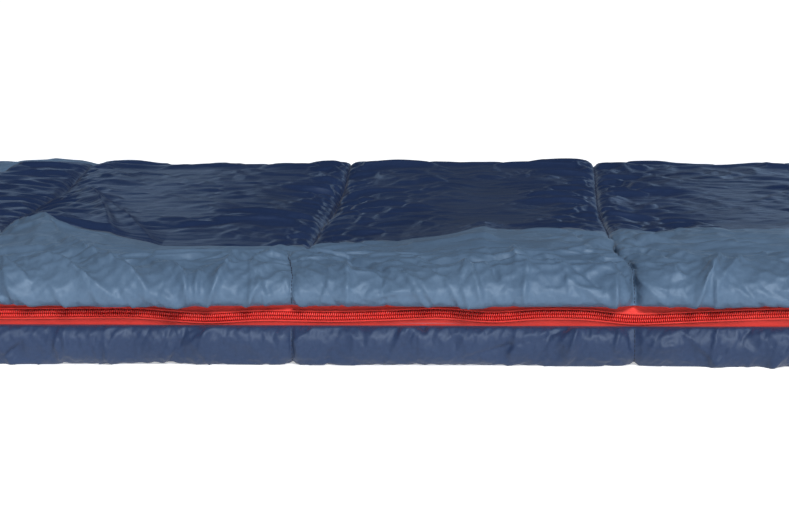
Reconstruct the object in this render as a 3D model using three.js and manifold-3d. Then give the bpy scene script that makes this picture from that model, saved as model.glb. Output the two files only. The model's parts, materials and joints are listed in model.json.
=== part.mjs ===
// Rectangular sleeping bag, zipped closed and lying flat. Millimetres, +Z up.
// X runs from the open head end (-X) to the foot end (+X). The zip is on the long side at -Y and
// along the foot; the long side at +Y is the fold on which the bag opens out into a blanket.
import * as THREE from 'three';
import { mergeVertices } from 'three/addons/utils/BufferGeometryUtils.js';
import Module from 'manifold-3d';

// ---- driving dimensions ----
const LENGTH = 1900;
const WIDTH = 750;
const HEIGHT = 70; // both quilts, closed
const SEAM_SPACING = 226; // between two quilting seams
const SEAM_COUNT = 8;
const ZIP_Z = 33; // height of the zip's middle line
const BOTTOM_TOP_Z = 30.2; // upper face of the bottom quilt's lining
const TOP_UNDER_Z = 36; // underside of the top quilt's lining
const FOLD_Z = HEIGHT / 2; // height of the line on which the bag folds, just past the far side
const FABRIC = 0.8; // thickness of a shell or a lining
const GAP = 0.3; // between pieces that touch
const BATTING_CLEAR = 3.6; // between a shell and its filling, whose facets are coarser
const HEM_DEPTH = 10; // how far the shell turns in under its bulging side, to reach the zip
const HEM_Z = [27.4, 38.6]; // hem height of the bottom and the top shell
const LINING_INSET = 14.5; // lining and batting stand back from the side, behind the slider
const SMALL_CORNER = 14;
const ZIP_CORNER = 60; // outside radius of the corner that the zip goes round
const SHOULDER = 55; // width of a side's rounding
const FOLD_SLOPE = 220; // width of the slope down to the fold
const FOLD_START = 0.06; // height share at the fold itself
const VALLEY_REACH = 56.5; // how far a seam pulls the quilt down on each side
const TOP_VALLEY = 0.46; // thickness left at a seam, as a share
const BOTTOM_VALLEY = 0.7;
const BAND = 153; // slate border beside the centre panel, measured from the side
const CENTRE_HEAD_X = -418; // head edge of the navy centre panel

const X0 = -LENGTH / 2;
const X1 = LENGTH / 2;
const Y0 = -WIDTH / 2;
const Y1 = WIDTH / 2;
const seams = Array.from({ length: SEAM_COUNT }, (_, i) => (i - (SEAM_COUNT - 1) / 2) * SEAM_SPACING);

// ---- materials ----
const fabric = (color, roughness) => new THREE.MeshStandardMaterial({ color, roughness, metalness: 0 });
const navy = fabric('#25324c', 0.45);
const slate = fabric('#5c7390', 0.45);
const bottomNavy = fabric('#394b6e', 0.5);
const liningGrey = fabric('#77818c', 0.8);
const fill = fabric('#e9e9e6', 1);
const thread = fabric('#1f2b45', 0.7);
const tapeRed = fabric('#e04a43', 0.7);
const coilRed = fabric('#ca2726', 0.35);
const metal = new THREE.MeshStandardMaterial({ color: '#8f9296', roughness: 0.35, metalness: 0.9 });

const wasm = await Module();
wasm.setup();

function toManifold(geometry) {
  const bare = geometry.clone();
  for (const name of ['normal', 'uv']) bare.deleteAttribute(name);
  const merged = mergeVertices(bare, 1e-5);
  return new wasm.Manifold(new wasm.Mesh({
    numProp: 3,
    vertProperties: new Float32Array(merged.attributes.position.array),
    triVerts: new Uint32Array(merged.index.array),
  }));
}

function fromManifold(solid) {
  const { vertProperties, triVerts } = solid.getMesh();
  const geometry = new THREE.BufferGeometry();
  geometry.setAttribute('position', new THREE.BufferAttribute(vertProperties, 3));
  geometry.setIndex(new THREE.BufferAttribute(triVerts, 1));
  geometry.computeVertexNormals();
  return geometry;
}

const union = (...geometries) => fromManifold(geometries.map(toManifold).reduce((a, b) => a.add(b)));

const bag = new THREE.Group();

function add(name, geometry, material) {
  const mesh = new THREE.Mesh(geometry, material);
  mesh.name = name;
  bag.add(mesh);
  return mesh;
}

// A box between two corners.
function block(low, high) {
  const size = high.map((h, k) => h - low[k]);
  const geometry = new THREE.BoxGeometry(...size);
  return geometry.translate(...low.map((l, k) => l + size[k] / 2));
}

// A flat outline pulled up from z0 to z1.
function prism(shape, z0, z1, curveSegments = 8) {
  const geometry = new THREE.ExtrudeGeometry(shape, { depth: z1 - z0, bevelEnabled: false, curveSegments });
  return geometry.translate(0, 0, z0);
}

// ---- plan shape ----
const corners = [
  { cx: X0 + SMALL_CORNER, cy: Y0 + SMALL_CORNER, r: SMALL_CORNER, sx: -1, sy: -1 },
  { cx: X0 + SMALL_CORNER, cy: Y1 - SMALL_CORNER, r: SMALL_CORNER, sx: -1, sy: 1 },
  { cx: X1 - SMALL_CORNER, cy: Y1 - SMALL_CORNER, r: SMALL_CORNER, sx: 1, sy: 1 },
  { cx: X1 - ZIP_CORNER, cy: Y0 + ZIP_CORNER, r: ZIP_CORNER, sx: 1, sy: -1 },
];

// Bends a point of the plain rectangle onto the round-cornered plan, then moves it in from the side.
function planPoint(x, y, moveIn) {
  for (const { cx, cy, sx, sy } of corners) {
    const a = (x - cx) * sx;
    const b = (y - cy) * sy;
    if (a > 0 && b > 0) {
      const reach = Math.hypot(a, b);
      const radius = Math.max(a, b) - moveIn;
      return [cx + (sx * a * radius) / reach, cy + (sy * b * radius) / reach];
    }
  }
  const sides = [[x - X0, 1, 0], [X1 - x, -1, 0], [y - Y0, 0, 1]];
  const [, dx, dy] = sides.reduce((best, side) => (side[0] < best[0] ? side : best));
  return [x + dx * moveIn, y + dy * moveIn];
}

// The plan as an outline, standing back from the zipped and open sides and from the fold.
function planShape(inset, foldInset) {
  const [x0, x1, y0, y1] = [X0 + inset, X1 - inset, Y0 + inset, Y1 - foldInset];
  const big = ZIP_CORNER - inset;
  const shape = new THREE.Shape();
  shape.moveTo(x0, y0);
  shape.lineTo(x1 - big, y0);
  shape.absarc(x1 - big, y0 + big, big, -Math.PI / 2, 0, false);
  shape.lineTo(x1, y1);
  shape.lineTo(x0, y1);
  shape.closePath();
  return shape;
}

// ---- quilt surfaces ----
const clamp = (t) => Math.min(1, Math.max(0, t));

// Height share at distance d in from a side: a quarter ellipse that starts at `start`.
function rounding(d, width, start) {
  return start + (1 - start) * Math.sqrt(1 - (1 - clamp(d / width)) ** 2);
}

function seamDip(x, valley) {
  const distance = Math.min(...seams.map((s) => Math.abs(x - s)));
  return valley + (1 - valley) * Math.sin((Math.PI / 2) * clamp(distance / VALLEY_REACH));
}

function edgeShare(x, y, width, start, foldWidth) {
  const near = rounding(y - Y0, width, start);
  const ends = rounding(x - X0, width, start) * rounding(X1 - x, width, start);
  return near * ends * rounding(Y1 - y, foldWidth, FOLD_START);
}

const TOP_BASE = TOP_UNDER_Z + 0.4;
const BOTTOM_BASE = BOTTOM_TOP_Z - 0.2;

function topZ(x, y) {
  const crown = 1 - 0.12 * clamp((y - Y0 - 120) / 300);
  return TOP_BASE + (HEIGHT - TOP_BASE) * crown * edgeShare(x, y, SHOULDER, 0.33, FOLD_SLOPE) * seamDip(x, TOP_VALLEY);
}

function bottomZ(x, y) {
  return BOTTOM_BASE * (1 - edgeShare(x, y, 40, 0.4, 70) * seamDip(x, BOTTOM_VALLEY));
}

// Grid lines over the plan. `hem` marks the first and last lines, which turn in under the side.
// `out` is how far a line is moved back out onto the side, so that no corners of cells coincide.
// `skin` is how far the fabric's inner face moves in and down there.
const sideLines = [
  { inset: 0, hem: true, skin: [FABRIC, 0] },
  { inset: 2, out: 2, skin: [FABRIC, 0] },
  { inset: 5, skin: [0.5, 0.6] },
  { inset: 16, skin: [0, FABRIC] },
  { inset: 36, skin: [0, FABRIC] },
  { inset: ZIP_CORNER, skin: [0, FABRIC] },
];
const inner = (at) => ({ at, skin: [0, FABRIC] });
const fromLow = (low) => sideLines.map((line) => ({ ...line, at: low + line.inset, sign: 1 }));
const fromHigh = (high) => sideLines.map((line) => ({ ...line, at: high - line.inset, sign: -1 })).reverse();

const seamLines = seams.flatMap((s) => [-VALLEY_REACH, 0, VALLEY_REACH].map((d) => s + d));
const middleLines = [...seamLines, CENTRE_HEAD_X].sort((a, b) => a - b).map(inner);
const xLines = [...fromLow(X0), ...middleLines, ...fromHigh(X1)];
const yLines = [
  ...fromLow(Y0),
  ...[120, BAND, 250, 420, 540, WIDTH - BAND, 650, 705, 735, 745].map((d) => inner(Y0 + d)),
  { at: Y1, skin: [FABRIC, 0] },
];

// The lines from one cut to the next, standing back half a gap from each cut.
function between(lines, low, high) {
  const kept = lines.filter(({ at }) => at > low && at < high);
  const start = low > -LENGTH ? [inner(low + GAP / 2)] : [];
  const end = high < LENGTH ? [inner(high - GAP / 2)] : [];
  return [...start, ...kept, ...end];
}

// A slab of cells over the grid lines, with each of its corners put in place by a function. Both of its
// faces split a cell along the same diagonal, so a thin slab keeps its thickness where a cell is twisted.
function warpedSlab(xs, ys, place) {
  const [lastX, lastY] = [xs.length - 1, ys.length - 1];
  const positions = xs.flatMap((lx) => ys.flatMap((ly) => [0, 1].flatMap((level) => place(lx, ly, level))));
  const at = (i, j, level) => (i * ys.length + j) * 2 + level;
  const index = [];
  const quad = (a, b, c, d) => index.push(a, b, c, a, c, d);
  for (let i = 0; i < lastX; i++) {
    for (let j = 0; j < lastY; j++) {
      quad(at(i, j, 1), at(i + 1, j, 1), at(i + 1, j + 1, 1), at(i, j + 1, 1));
      quad(at(i, j, 0), at(i, j + 1, 0), at(i + 1, j + 1, 0), at(i + 1, j, 0));
    }
    quad(at(i, 0, 0), at(i + 1, 0, 0), at(i + 1, 0, 1), at(i, 0, 1));
    quad(at(i + 1, lastY, 0), at(i, lastY, 0), at(i, lastY, 1), at(i + 1, lastY, 1));
  }
  for (let j = 0; j < lastY; j++) {
    quad(at(0, j + 1, 0), at(0, j, 0), at(0, j, 1), at(0, j + 1, 1));
    quad(at(lastX, j, 0), at(lastX, j + 1, 0), at(lastX, j + 1, 1), at(lastX, j, 1));
  }
  const geometry = new THREE.BufferGeometry();
  geometry.setAttribute('position', new THREE.Float32BufferAttribute(positions, 3));
  geometry.setIndex(index);
  geometry.computeVertexNormals();
  return geometry;
}

const atSide = (line) => line.at - (line.sign ?? 0) * (line.out ?? 0);

// A shell: a slab one fabric thick, whose outside looks up (1) or down (-1).
function shell(height, hemZ, up, xs = xLines, ys = yLines) {
  return warpedSlab(xs, ys, (lx, ly, level) => {
    const inside = level === (up > 0 ? 0 : 1);
    const side = (lx.sign ?? 0) !== 0 && (lx.inset ?? 99) < (ly.inset ?? 99) ? lx : ly;
    const [skinIn, skinDown] = inside ? side.skin : [0, 0];
    const hem = lx.hem || ly.hem;
    const foldNear = clamp((ly.at - (Y1 - 3 * SMALL_CORNER)) / (3 * SMALL_CORNER));
    const isFold = ly === yLines.at(-1);
    const turnedIn = hem ? HEM_DEPTH * (1 - foldNear) : -(side.out ?? 0);
    const [x, y] = planPoint(lx.at, ly.at, isFold ? 0 : turnedIn + skinIn);
    const surface = height(atSide(lx), atSide(ly));
    const z = hem ? hemZ + (surface - hemZ) * foldNear : surface;
    return [x, y - (isFold ? skinIn : 0), z - up * (hem ? 0 : skinDown)];
  });
}

// The filling: a slab under (or over) the shell, on some of the same grid lines.
function batting(height, flatZ, up) {
  const within = (line) => !line.hem && (line.inset ?? 99) > LINING_INSET;
  const xs = xLines.filter(within);
  const ys = yLines.filter((line) => within(line) && line.at < Y1 - 4);
  const clearance = up * (FABRIC + BATTING_CLEAR);
  return warpedSlab(xs, ys, (lx, ly, level) => {
    const [x, y] = planPoint(lx.at, ly.at, 0);
    const onShell = level === (up > 0 ? 1 : 0);
    return [x, y, onShell ? height(lx.at, ly.at) - clearance : flatZ];
  });
}

// ---- top quilt ----
const ALL = [-LENGTH, LENGTH];
const bandLow = Y0 + BAND;
const bandHigh = Y1 - BAND;
const toFoot = [CENTRE_HEAD_X, LENGTH];

function topPanel(name, [xLow, xHigh], [yLow, yHigh], material) {
  const [xs, ys] = [between(xLines, xLow, xHigh), between(yLines, yLow, yHigh)];
  add(name, shell(topZ, HEM_Z[1], 1, xs, ys), material);
}

topPanel('top_head_panel', [-LENGTH, CENTRE_HEAD_X], ALL, slate);
topPanel('top_near_band', toFoot, [-LENGTH, bandLow], slate);
topPanel('top_centre_panel', toFoot, [bandLow, bandHigh], navy);
topPanel('top_far_band', toFoot, [bandHigh, LENGTH], slate);
add('top_batting', batting(topZ, TOP_UNDER_Z + FABRIC + GAP, 1), fill);
add('top_lining', prism(planShape(LINING_INSET, 1), TOP_UNDER_Z, TOP_UNDER_Z + FABRIC), liningGrey);

// ---- bottom quilt ----
add('bottom_shell', shell(bottomZ, HEM_Z[0], -1), bottomNavy);
add('bottom_batting', batting(bottomZ, BOTTOM_TOP_Z - FABRIC - GAP, -1), fill);
add('bottom_lining', prism(planShape(LINING_INSET, 1), BOTTOM_TOP_Z - FABRIC, BOTTOM_TOP_Z), liningGrey);

// ---- quilting seams: a line of stitching in each valley ----
const THREAD = [1, 0.8]; // width and height of a stitched line
const THREAD_CLEAR = 0.45;
const threadLines = yLines.filter((line) => !line.hem && (line.inset ?? 99) >= 5 && line.at < Y1 - 4);

function seamThread(x, height, up) {
  const across = [{ at: x - THREAD[0] / 2 }, { at: x + THREAD[0] / 2 }];
  return warpedSlab(across, threadLines, (lx, ly, level) => {
    const outside = level === (up > 0 ? 1 : 0);
    const lift = THREAD_CLEAR + (outside ? THREAD[1] : 0);
    return [lx.at, ly.at, height(x, ly.at) + up * lift];
  });
}

seams.forEach((x, i) => {
  add(`top_seam_${i + 1}`, seamThread(x, topZ, 1), thread);
  add(`bottom_seam_${i + 1}`, seamThread(x, bottomZ, -1), thread);
});

// ---- fold seam and head bindings ----
const endClear = 2 * SMALL_CORNER;
add('fold_seam', block([X0 + endClear, Y1 - 1.6, BOTTOM_TOP_Z + GAP], [X1 - endClear, Y1 - 0.6, FOLD_Z - GAP]), thread);

const BINDING = [X0 + 4.5, X0 + 8.4];
const bindingEnds = [Y0 + endClear, Y1 - endClear];
add('top_head_binding', block([BINDING[0], bindingEnds[0], TOP_UNDER_Z], [BINDING[1], bindingEnds[1], 38.5]), navy);
add('bottom_head_binding',
  block([BINDING[0], bindingEnds[0], 27.6], [BINDING[1], bindingEnds[1], BOTTOM_TOP_Z]), bottomNavy);

// ---- zip: two tapes and two coils that run down the side and round the foot ----
const ZIP_Y = Y0 + HEM_DEPTH;
const ZIP_X = X1 - HEM_DEPTH;
const ZIP_R = ZIP_CORNER - HEM_DEPTH;
const COIL = 3; // height of one coil
const COIL_SPLIT = 0.6; // from the middle line to each coil
const COIL_OUT = [2.4, -0.2]; // outer and inner face of the coils, out from the zip line
const TAPE_OUT = [-0.5, -1.3];
const LOWER_ENDS = [X0 + 16, Y1 - 25]; // where the lower half starts on the side and ends on the foot
const UPPER_ENDS = [X0 + 42, Y1 - 55]; // the upper half stops short of both parked sliders

function zipStrip(out, ends, z0, z1) {
  const [cx, cy] = [ZIP_X - ZIP_R, ZIP_Y + ZIP_R];
  const shape = new THREE.Shape();
  shape.moveTo(ends[0], ZIP_Y - out[0]);
  shape.lineTo(cx, ZIP_Y - out[0]);
  shape.absarc(cx, cy, ZIP_R + out[0], -Math.PI / 2, 0, false);
  shape.lineTo(ZIP_X + out[0], ends[1]);
  shape.lineTo(ZIP_X + out[1], ends[1]);
  shape.lineTo(ZIP_X + out[1], cy);
  shape.absarc(cx, cy, ZIP_R + out[1], 0, -Math.PI / 2, true);
  shape.lineTo(ends[0], ZIP_Y - out[1]);
  shape.closePath();
  return prism(shape, z0, z1, 10);
}

const lowCoilTop = ZIP_Z - COIL_SPLIT;
const highCoilFoot = ZIP_Z + COIL_SPLIT;
add('zip_tape_lower', zipStrip(TAPE_OUT, LOWER_ENDS, HEM_Z[0] + GAP, lowCoilTop), tapeRed);
add('zip_coil_lower', zipStrip(COIL_OUT, LOWER_ENDS, lowCoilTop - COIL, lowCoilTop), coilRed);
add('zip_tape_upper', zipStrip(TAPE_OUT, UPPER_ENDS, highCoilFoot, HEM_Z[1] - GAP), tapeRed);
add('zip_coil_upper', zipStrip(COIL_OUT, UPPER_ENDS, highCoilFoot, highCoilFoot + COIL), coilRed);

// Stops: a small metal clip past each end of the lower half, and one on each end of the upper coil.
const CLIP = 1.8;
const sideClip = (x, z0, z1) => block([x, ZIP_Y - COIL_OUT[0], z0], [x + CLIP, ZIP_Y - TAPE_OUT[1], z1]);
const footClip = (y, z0, z1) => block([ZIP_X + TAPE_OUT[1], y, z0], [ZIP_X + COIL_OUT[0], y + CLIP, z1]);
add('zip_stop_head_lower', sideClip(LOWER_ENDS[0] - GAP - CLIP, lowCoilTop - COIL, lowCoilTop), metal);
add('zip_stop_head_upper', sideClip(UPPER_ENDS[0] - GAP - CLIP, highCoilFoot, highCoilFoot + COIL), metal);
add('zip_stop_foot_lower', footClip(LOWER_ENDS[1] + GAP, lowCoilTop - COIL, lowCoilTop), metal);
add('zip_stop_foot_upper', footClip(UPPER_ENDS[1] + GAP, highCoilFoot, highCoilFoot + COIL), metal);

// ---- sliders and pulls, drawn on the side zip with the slider's middle at x = 0 ----
const SLIDER_LENGTH = 18;
const SLIDER_HALF = 4.8; // half of its height
const PLATE = 1.4;
const FRONT = [-5, -5 + PLATE]; // front plate's faces, measured in from the zip line (minus is out)
const BACK = [1.8, 1.8 + PLATE];
const LIP = 0.7;
const WEB = 0.35; // half the thickness of the web that joins the plates between the coils
const BAIL = { x0: -5, x1: 5, bar: 1.2, out: 4.4, half: 1 };
const PIVOT_OUT = 1.6; // from the front plate to the pull's axis
const PULL = { half: 3.6, length: 34, thick: 1.3, arm: 1.5, hole: 9 };

function plate(y0, y1) {
  const shape = new THREE.Shape();
  const [l, h] = [SLIDER_LENGTH / 2, SLIDER_HALF];
  const nose = 5;
  shape.moveTo(l, -h + 1);
  shape.lineTo(l, h - 1);
  shape.lineTo(l - 1, h);
  shape.lineTo(nose - l, h);
  shape.absarc(nose - l, 0, h, Math.PI / 2, 1.5 * Math.PI, false);
  shape.lineTo(l - 1, -h);
  shape.closePath();
  const geometry = prism(shape, 0, y1 - y0, 8);
  return geometry.rotateX(Math.PI / 2).translate(0, y1, 0);
}

function sliderBody() {
  const [l, h] = [SLIDER_LENGTH / 2, SLIDER_HALF];
  const lipBack = -0.9 - COIL_OUT[0] + 2.2;
  const lips = [-1, 1].map((s) => {
    const z = [s * h, s * (h - LIP)].sort((a, b) => a - b);
    return block([-l + 5, FRONT[1] - 0.2, z[0]], [l - 1, lipBack, z[1]]);
  });
  const web = block([-l + 2, FRONT[1] - 0.2, -WEB], [-l + 6, BACK[0] + 0.2, WEB]);
  const arch = new THREE.Shape();
  const top = FRONT[0] - BAIL.out;
  arch.moveTo(BAIL.x0, FRONT[0] + 0.3);
  arch.lineTo(BAIL.x0, top + 1);
  arch.lineTo(BAIL.x0 + 1, top);
  arch.lineTo(BAIL.x1 - 1, top);
  arch.lineTo(BAIL.x1, top + 1);
  arch.lineTo(BAIL.x1, FRONT[0] + 0.3);
  arch.lineTo(BAIL.x1 - BAIL.bar, FRONT[0] + 0.3);
  arch.lineTo(BAIL.x1 - BAIL.bar, top + BAIL.bar);
  arch.lineTo(BAIL.x0 + BAIL.bar, top + BAIL.bar);
  arch.lineTo(BAIL.x0 + BAIL.bar, FRONT[0] + 0.3);
  arch.closePath();
  const bail = prism(arch, -BAIL.half, BAIL.half);
  return union(plate(...FRONT), plate(...BACK), web, bail, ...lips);
}

// The pull's end bar passes under the bail, so the bail stands in the pull's hole.
function pullTab() {
  const { half, length, thick, arm, hole } = PULL;
  const outline = new THREE.Shape();
  outline.moveTo(-0.8, -half);
  outline.lineTo(length - half, -half);
  outline.absarc(length - half, 0, half, -Math.PI / 2, Math.PI / 2, false);
  outline.lineTo(-0.8, half);
  outline.closePath();
  const eye = new THREE.Path();
  eye.moveTo(0.8, -half + arm);
  eye.lineTo(0.8, half - arm);
  eye.lineTo(hole, half - arm);
  eye.lineTo(hole, -half + arm);
  eye.closePath();
  outline.holes.push(eye);
  const geometry = prism(outline, -thick / 2, thick / 2, 6);
  return geometry.rotateX(Math.PI / 2).translate(0, FRONT[0] - PIVOT_OUT, 0);
}

const SIDE_PARK = [LOWER_ENDS[0] + 12, ZIP_Y, ZIP_Z];
const FOOT_PARK = [ZIP_X, LOWER_ENDS[1] - 12, ZIP_Z];
const onSide = (geometry) => geometry.translate(...SIDE_PARK);
const onFoot = (geometry) => geometry.rotateZ(Math.PI / 2).scale(1, -1, 1).translate(...FOOT_PARK);

// Turning and mirroring a slider for the foot end reverses its faces, so they are put back.
function mirrored(geometry) {
  const index = geometry.index ?? null;
  const flipped = index ? geometry : mergeVertices(geometry);
  const order = flipped.index.array;
  for (let t = 0; t < order.length; t += 3) [order[t], order[t + 1]] = [order[t + 1], order[t]];
  flipped.computeVertexNormals();
  return flipped;
}

add('side_slider', onSide(sliderBody()), metal);
add('side_pull', onSide(pullTab()), metal);
add('foot_slider', mirrored(onFoot(sliderBody())), metal);
add('foot_pull', mirrored(onFoot(pullTab())), metal);

export default bag;
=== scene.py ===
"""Looks of the rectangular sleeping bag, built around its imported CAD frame.

Shapes are worked out in millimetres, in the frame's axes, and turned into metres when a mesh is made."""

import json
import math

import bpy
import numpy as np
from mathutils import Matrix, Vector

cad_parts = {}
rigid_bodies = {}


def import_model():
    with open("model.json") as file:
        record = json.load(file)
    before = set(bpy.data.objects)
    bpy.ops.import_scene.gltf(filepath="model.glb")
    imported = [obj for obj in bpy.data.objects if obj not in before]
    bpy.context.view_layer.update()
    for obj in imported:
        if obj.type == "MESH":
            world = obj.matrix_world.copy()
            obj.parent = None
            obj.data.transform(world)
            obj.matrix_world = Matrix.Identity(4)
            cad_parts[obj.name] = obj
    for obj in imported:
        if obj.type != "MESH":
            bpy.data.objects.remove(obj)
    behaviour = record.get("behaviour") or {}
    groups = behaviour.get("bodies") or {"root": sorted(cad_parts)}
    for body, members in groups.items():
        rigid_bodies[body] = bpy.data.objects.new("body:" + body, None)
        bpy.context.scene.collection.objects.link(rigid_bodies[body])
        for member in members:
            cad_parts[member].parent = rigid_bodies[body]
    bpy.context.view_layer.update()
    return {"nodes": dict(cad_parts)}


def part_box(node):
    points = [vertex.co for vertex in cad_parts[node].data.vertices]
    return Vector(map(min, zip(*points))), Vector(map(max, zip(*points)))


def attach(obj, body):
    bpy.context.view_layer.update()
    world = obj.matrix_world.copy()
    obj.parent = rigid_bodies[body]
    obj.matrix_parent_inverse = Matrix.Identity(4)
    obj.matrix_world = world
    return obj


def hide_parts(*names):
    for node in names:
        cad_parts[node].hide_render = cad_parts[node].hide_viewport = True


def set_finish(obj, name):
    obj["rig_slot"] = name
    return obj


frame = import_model()

MM = 0.001


# ---------------------------------------------------------------- sizes, from the frame
def node_box(name):
    return [np.array(corner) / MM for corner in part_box(name)]


X0, Y0 = node_box("bottom_shell")[0][:2]
X1, Y1 = node_box("bottom_shell")[1][:2]
TOP = node_box("top_near_band")[1][2]
TOP_LIMIT = TOP + 11.4  # the highest that a fold of the cloth may stand
ZIP_Z = (node_box("zip_coil_lower")[1][2] + node_box("zip_coil_upper")[0][2]) / 2
# The quilts' hems lie just outside the plain tapes. 1 is the top quilt, and -1 the bottom one.
HEM_Z = {1: node_box("zip_tape_upper")[1][2] + 1.8, -1: node_box("zip_tape_lower")[0][2] - 1.6}
LINING_Z = {1: node_box("top_lining")[0][2], -1: node_box("bottom_lining")[1][2]}
STITCH_ROW = 0.5  # half the width of a row of stitches
SEAMS = [node_box(f"top_seam_{i}")[0][0] + STITCH_ROW for i in range(1, 9)]
SEAM_GAP = SEAMS[1] - SEAMS[0]
HEAD_EDGE = node_box("top_head_panel")[1][0]
BAND = node_box("top_near_band")[1][1] - Y0
FOLD_Z = TOP / 2
HEM_DEPTH = 10.0  # the shell turns in this far under its bulging side
ZIP_Y, ZIP_X = Y0 + HEM_DEPTH, X1 - HEM_DEPTH
ZIP_CORNER, HEAD_CORNER = 60.0, 14.0  # outside radii in plan
PANEL_CORNER = 150.0  # of the navy centre panel
NEAR_STRIP = 60.0  # width of the strip beside the zip that has its own, finer rows
BODY = {1: "top_quilt", -1: "bottom_quilt"}
SIDE = {1: "top", -1: "bottom"}


def linked(name, data):
    """A new object in the scene."""
    obj = bpy.data.objects.new(name, data)
    bpy.context.scene.collection.objects.link(obj)
    return obj


# ---------------------------------------------------------------- camera
def make_camera():
    """Looks at the zipped long side from a little above it."""
    distance, above, right = 1500.0, 284.0, 21.5
    to_left, down, roll = 2.54, 9.34, -0.3
    data = bpy.data.cameras.new("camera")
    data.sensor_width = 36.0
    data.lens = 105.3
    data.clip_end = 50.0
    camera = linked("camera", data)
    camera.location = Vector((right, ZIP_Y - distance, ZIP_Z + above)) * MM
    turns = ((to_left, "Z"), (90 - down, "X"), (roll, "Z"))
    pan, pitch, tilt = (Matrix.Rotation(math.radians(angle), 3, axis) for angle, axis in turns)
    camera.rotation_euler = (pan @ pitch @ tilt).to_euler()
    bpy.context.scene.camera = camera


make_camera()


# ---------------------------------------------------------------- small helpers
def clamp(t, low=0.0, high=1.0):
    return np.minimum(high, np.maximum(low, t))


def smooth(t):
    t = clamp(t)
    return t * t * (3 - 2 * t)


def bell(t):
    return np.exp(-t * t)


def noise_field(shape, cells, seed):
    """Smooth random values of about -1 to 1 over a grid, with `cells` bumps along each axis."""
    rng = np.random.RandomState(seed)
    out = rng.uniform(-1, 1, [int(c) + 4 for c in cells])
    for axis, (n, c) in enumerate(zip(shape, cells)):
        at = np.linspace(1, int(c) + 1.999, n)
        i = at.astype(int)
        f = (at - i).reshape([-1 if k == axis else 1 for k in range(2)])
        a, b, c2, d = (np.take(out, i + k, axis=axis) for k in (-1, 0, 1, 2))
        out = b + 0.5 * f * (c2 - a + f * (2 * a - 5 * b + 4 * c2 - d + f * (3 * (b - c2) + d - a)))
    return out


def blurred(values, times):
    """A grid of values, evened out over its neighbours."""
    for _ in range(times):
        for axis in (0, 1):
            n = values.shape[axis]
            ends = [np.take(values, [0], axis), values, np.take(values, [-1], axis)]
            low, mid, high = (np.take(np.concatenate(ends, axis), np.arange(n) + k, axis) for k in range(3))
            values = (low + 2 * mid + high) / 4
    return values


LEVELS = 4  # cloth is settled on a coarse grid first, and on one twice as fine each time


def divided(anchors, step_of):
    """Grid positions through every anchor, with about step_of(middle) between them, for every level."""
    out = [anchors[0]]
    for a, b in zip(anchors, anchors[1:]):
        coarse = 2 ** (LEVELS - 1)
        count = coarse * max(1, int(round((b - a) / step_of((a + b) / 2) / coarse)))
        out.extend(a + (b - a) * (k + 1) / count for k in range(count))
    return np.array(out)


def normals_of(points, up):
    """Unit normals of a grid of points, looking up (1) or down (-1)."""
    n = np.cross(np.gradient(points, axis=1), np.gradient(points, axis=2), axis=0)
    return up * n / (np.sqrt((n ** 2).sum(0)) + 1e-9)


# ---------------------------------------------------------------- cloth
class Cloth:
    """A sheet on a grid that buckles over the filling under it.

    bed and normal, of shape (3, columns, rows), are the filling's surface and its outward direction.
    excess says, for each axis, how much longer than the bed the cloth is cut at each node, as a share."""

    def __init__(self, bed, normal, excess, bend):
        self.bed, self.normal = bed.astype(np.float32), normal.astype(np.float32)
        self.at = self.bed.copy()
        self.links = []
        both = (excess[0] + excess[1]) / 2
        self.link(1, 0, excess[0], 1.0)
        self.link(0, 1, excess[1], 1.0)
        self.link(1, 1, both, 0.3)
        self.link(1, -1, both, 0.3)
        self.link(2, 0, 0.7 * excess[0], bend[0])
        self.link(0, 2, 0.7 * excess[1], bend[1])

    def link(self, di, dj, excess, stiffness):
        """Ties every node to the one di columns and dj rows on, in groups in which no node is used twice."""
        nx, ny = self.bed.shape[1:]
        along_x = di > 0
        step, n = (di, nx) if along_x else (dj, ny)
        for begin in range(2 * step):
            first = np.arange(begin, n - step, 2 * step)
            if not len(first):
                continue
            run = slice(begin, first[-1] + 1, 2 * step)
            next_run = slice(begin + step, first[-1] + step + 1, 2 * step)
            if along_x:
                low, high = slice(0, ny - abs(dj)), slice(abs(dj), ny)
                a = (run, low if dj >= 0 else high)
                b = (next_run, high if dj >= 0 else low)
            else:
                a, b = (slice(None), run), (slice(None), next_run)
            a3, b3 = (slice(None), *a), (slice(None), *b)
            straight = np.sqrt(((self.bed[a3] - self.bed[b3]) ** 2).sum(0))
            rest = straight * (1 + (excess[a] + excess[b]) / 2)
            self.links.append((a3, b3, rest.astype(np.float32), stiffness))

    def settle(self, steps, locks, floor, push=0.12, pull=0.01, damp=0.9):
        """locks are (mask, strength on each axis) pairs that hold nodes to the bed. floor is the lowest z."""
        before = self.at.copy()
        for _ in range(steps):
            move = (self.at - before) * damp
            before = self.at.copy()
            self.at += move
            off = np.einsum("kij,kij->ij", self.at - self.bed, self.normal)
            self.at -= self.normal * np.where(off < 0, push * off, pull * off)
            for a, b, rest, stiffness in self.links:
                gap = self.at[b] - self.at[a]
                size = np.sqrt(np.einsum("kij,kij->ij", gap, gap)) + 1e-6
                gap *= (0.5 * stiffness) * (1 - rest / size)
                self.at[a] += gap
                self.at[b] -= gap
            for where, strength in locks:
                for layer, goal, share in zip(self.at, self.bed, strength):
                    layer[where] += share * (goal[where] - layer[where])
            np.maximum(self.at[2], floor, out=self.at[2])
        return self.at


def finer(values):
    """Values on a grid, carried over to a grid with a new node between every two."""
    for axis in (1, 2):
        values = np.moveaxis(values, axis, 0)
        ends = np.concatenate([2 * values[:1] - values[1:2], values, 2 * values[-1:] - values[-2:-1]])
        middles = (9 * (ends[1:-2] + ends[2:-1]) - ends[:-3] - ends[3:]) / 16
        out = np.empty((2 * len(values) - 1, *values.shape[1:]), values.dtype)
        out[::2], out[1::2] = values, middles
        values = np.moveaxis(out, 0, axis)
    return values


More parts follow.
